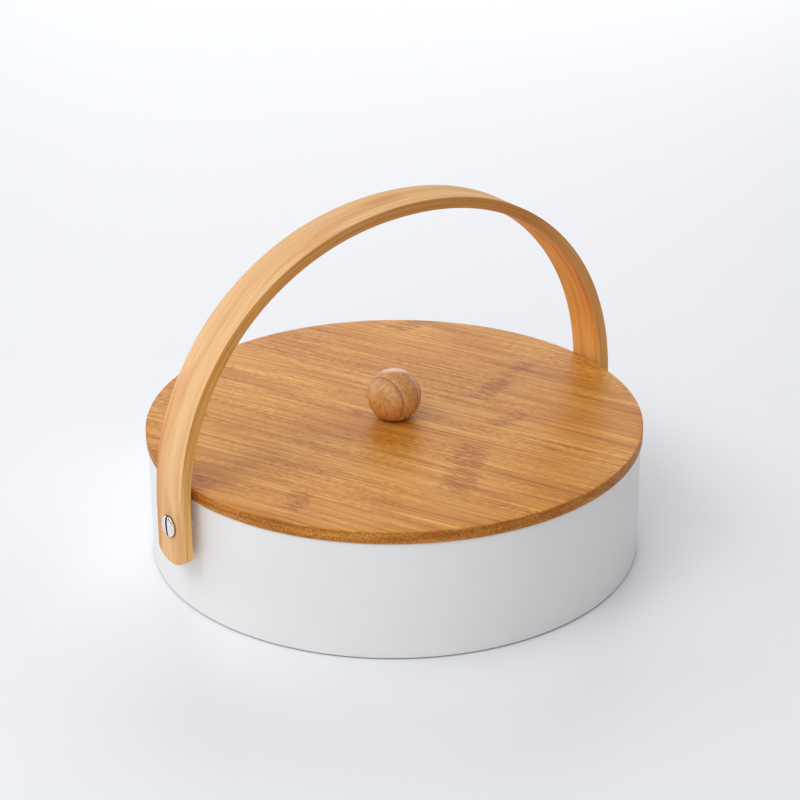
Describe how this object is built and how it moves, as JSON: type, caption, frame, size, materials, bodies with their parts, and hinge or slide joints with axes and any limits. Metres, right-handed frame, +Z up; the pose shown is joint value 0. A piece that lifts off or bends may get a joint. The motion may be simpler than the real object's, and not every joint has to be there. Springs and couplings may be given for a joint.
{
  "type": "chip and dip server",
  "caption": "Round white serving tub with a flat bamboo lid, a ball knob and a swinging bent bamboo handle, with sector chip dishes standing round a dip bowl inside.",
  "frame": {"origin": "centre of the tub's flat underside", "axes": "+Z up; the upright handle stands over the X axis, and its two pivots lie on a line along X; +Y is one open side"},
  "size_m": [0.2834, 0.26, 0.1916],
  "materials": {
    "coated_steel": "satin powder coat",
    "chrome_steel": "polished chrome",
    "zinc_steel": "zinc plated",
    "white_nylon": "matt",
    "strap_bamboo": "laminated bamboo, clear satin lacquer",
    "lid_bamboo": "carbonised bamboo strips, clear satin lacquer",
    "knob_wood": "turned beech, clear satin lacquer",
    "stoneware": "white glazed stoneware, opaque"
  },
  "bodies": {
    "tub": {"serving_tub": "coated_steel", "pivot_posts": "chrome_steel", "pivot_spacers": "white_nylon", "pivot_screws": "chrome_steel"},
    "handle": {"handle_strap": "strap_bamboo"},
    "lid": {"lid_board": "lid_bamboo", "lid_knob": "knob_wood", "knob_screw": "zinc_steel"},
    "bowl": {"dip_bowl": "stoneware"},
    "dish_1": {"chip_dish_1": "stoneware"},
    "dish_2": {"chip_dish_2": "stoneware"},
    "dish_3": {"chip_dish_3": "stoneware"},
    "dish_4": {"chip_dish_4": "stoneware"},
    "dish_5": {"chip_dish_5": "stoneware"}
  },
  "joints": [
    {"name": "handle_swing", "type": "hinge", "parent": "tub", "child": "handle", "pos_m": [0, 0, 0.0505], "axis": [1, 0, 0], "range_deg": [-100, 100]},
    {"name": "lid_lift", "type": "slide", "parent": "tub", "child": "lid", "axis": [0, 0, 1], "range_m": [0, 0.018]},
    {"name": "bowl_lift", "type": "slide", "parent": "tub", "child": "bowl", "axis": [0, 0, 1], "range_m": [0, 0.015]},
    {"name": "dish_1_lift", "type": "slide", "parent": "tub", "child": "dish_1", "axis": [0, 0, 1], "range_m": [0, 0.015]},
    {"name": "dish_2_lift", "type": "slide", "parent": "tub", "child": "dish_2", "axis": [0, 0, 1], "range_m": [0, 0.015]},
    {"name": "dish_3_lift", "type": "slide", "parent": "tub", "child": "dish_3", "axis": [0, 0, 1], "range_m": [0, 0.015]},
    {"name": "dish_4_lift", "type": "slide", "parent": "tub", "child": "dish_4", "axis": [0, 0, 1], "range_m": [0, 0.015]},
    {"name": "dish_5_lift", "type": "slide", "parent": "tub", "child": "dish_5", "axis": [0, 0, 1], "range_m": [0, 0.015]}
  ]
}
